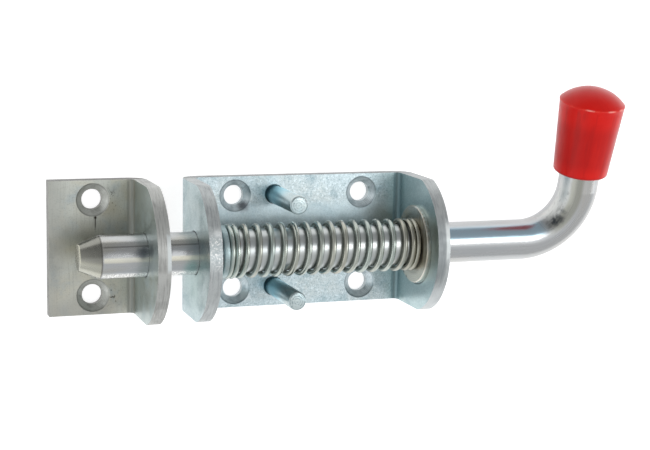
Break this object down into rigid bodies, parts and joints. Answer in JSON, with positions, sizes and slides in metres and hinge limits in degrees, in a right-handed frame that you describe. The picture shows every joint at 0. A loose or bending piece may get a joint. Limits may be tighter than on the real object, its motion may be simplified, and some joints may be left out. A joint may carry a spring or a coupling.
{
  "type": "spring bolt",
  "caption": "Spring-loaded round bolt in a folded bracket, with a bent handle, a push-on grip cap and a separate folded keeper.",
  "frame": {"origin": "centre of the bracket's four screw holes, on the mounting face", "axes": "+X along the bolt towards the handle, +Y across the strip on the side that the handle points to, +Z away from the mounting face"},
  "size_m": [0.2172, 0.0869, 0.0502],
  "materials": {
    "bracket_zinc": "blue zinc plate, satin, finely speckled",
    "keeper_zinc": "zinc plate, satin, faintly yellow",
    "stud_zinc": "zinc plate, satin",
    "washer_zinc": "zinc plate, stamped",
    "spring_wire": "drawn wire, plated bright",
    "pin_steel": "rolled spring steel",
    "rod_zinc": "zinc plate over drawn bar, bright",
    "red_plastic": "moulded soft plastic, glossy"
  },
  "bodies": {
    "bracket": {"bracket": "bracket_zinc", "keeper": "keeper_zinc", "upper_stud": "stud_zinc", "lower_stud": "stud_zinc", "thrust_washer": "washer_zinc", "spring": "spring_wire"},
    "spring_seat": {"seat_washer": "washer_zinc"},
    "bolt": {"bolt_rod": "rod_zinc", "roll_pin": "pin_steel", "grip_cap": "red_plastic"}
  },
  "joints": [
    {"name": "bolt_slide", "type": "slide", "parent": "bracket", "child": "spring_seat", "axis": [1, 0, 0], "range_m": [0, 0.036], "stiffness_N_per_m": 1640, "springref_m": -0.022, "deforming": ["spring"]},
    {"name": "handle_turn", "type": "hinge", "parent": "spring_seat", "child": "bolt", "pos_m": [-0.0396, 0, 0.0234], "axis": [1, 0, 0], "range_deg": [-24.6, 175.4]}
  ]
}
